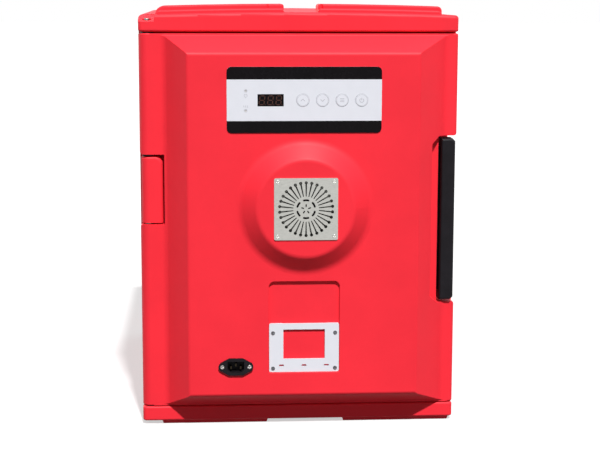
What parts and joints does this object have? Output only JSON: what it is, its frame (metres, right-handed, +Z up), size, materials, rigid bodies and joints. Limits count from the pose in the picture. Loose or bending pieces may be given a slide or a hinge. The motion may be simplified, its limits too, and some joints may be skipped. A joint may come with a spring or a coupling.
{
  "type": "electric food transport box",
  "caption": "Front-loading insulated food carrier in red plastic with a side-hinged heated door, lever latch, control panel, fan grille and mains inlet.",
  "frame": {"origin": "middle of the footprint, on the surface that the feet stand on", "axes": "+Z up, -Y towards the front of the door, +X to the latch side"},
  "size_m": [0.465, 0.6798, 0.6221],
  "materials": {
    "red_shell": "satin",
    "red_liner": "satin",
    "foam": "matte",
    "black_nylon": "satin",
    "black_gloss": "gloss",
    "white_plastic": "satin",
    "stainless": "satin",
    "screw_steel": "gloss",
    "silicone": "matte",
    "circuit_board": "satin",
    "lamp": "gloss",
    "brass_contact": "satin",
    "nylon_bush": "matte",
    "aluminium_fan": "satin"
  },
  "bodies": {
    "cabinet": {"cabinet_shell": "red_shell", "cabinet_foam": "foam", "cabinet_liner": "red_liner", "foam_fill_plugs": "black_nylon", "hinge_pin": "screw_steel", "hinge_washers": "black_nylon", "latch_base": "black_nylon", "latch_base_screws": "screw_steel", "latch_pin": "screw_steel"},
    "latch": {"latch_lever": "black_nylon"},
    "door": {"door_shell": "red_shell", "door_foam": "foam", "door_liner": "red_liner", "door_gasket": "silicone", "hinge_bushes": "nylon_bush", "control_fascia": "white_plastic", "fascia_bands": "black_gloss", "display_window": "black_gloss", "display_module": "black_nylon", "control_housing": "black_nylon", "control_board": "circuit_board", "button_switches": "black_nylon", "indicator_lamps": "lamp", "card_frame": "white_plastic", "card_frame_screws": "screw_steel", "power_inlet": "black_nylon", "inlet_contacts": "brass_contact", "inlet_screws": "screw_steel", "grille_plate": "stainless", "grille_screws": "screw_steel", "duct_sleeve": "stainless", "fan_motor": "black_nylon", "motor_bracket": "stainless", "motor_spacers": "brass_contact", "fan_chamber": "stainless", "heater_element": "stainless", "heater_clips": "stainless", "heater_cover": "stainless", "heater_cover_screws": "screw_steel", "temperature_probe": "screw_steel", "thermal_cutout": "black_nylon", "wiring_conduits": "black_nylon"},
    "fan": {"fan_impeller": "aluminium_fan", "fan_shaft": "screw_steel"},
    "up_key": {"button_up": "white_plastic"},
    "down_key": {"button_down": "white_plastic"},
    "set_key": {"button_set": "white_plastic"},
    "power_key": {"button_power": "white_plastic"}
  },
  "joints": [
    {"name": "door_hinge", "type": "hinge", "parent": "cabinet", "child": "door", "pos_m": [-0.22, -0.27145, 0.3045], "axis": [0, 0, -1], "range_deg": [0, 180]},
    {"name": "latch_turn", "type": "hinge", "parent": "cabinet", "child": "latch", "pos_m": [0.219, -0.21795, 0.30725], "axis": [0, 0, 1], "range_deg": [0, 100]},
    {"name": "fan_spin", "type": "hinge", "parent": "door", "child": "fan", "pos_m": [0.0066, -0.26395, 0.3312], "axis": [0, 1, 0], "continuous": true},
    {"name": "up_press", "type": "slide", "parent": "door", "child": "up_key", "axis": [0, 1, 0], "range_m": [0, 0.0005], "stiffness_N_per_m": 400, "springref_m": -0.0005},
    {"name": "down_press", "type": "slide", "parent": "door", "child": "down_key", "axis": [0, 1, 0], "range_m": [0, 0.0005], "stiffness_N_per_m": 400, "springref_m": -0.0005},
    {"name": "set_press", "type": "slide", "parent": "door", "child": "set_key", "axis": [0, 1, 0], "range_m": [0, 0.0005], "stiffness_N_per_m": 400, "springref_m": -0.0005},
    {"name": "power_press", "type": "slide", "parent": "door", "child": "power_key", "axis": [0, 1, 0], "range_m": [0, 0.0005], "stiffness_N_per_m": 400, "springref_m": -0.0005}
  ]
}
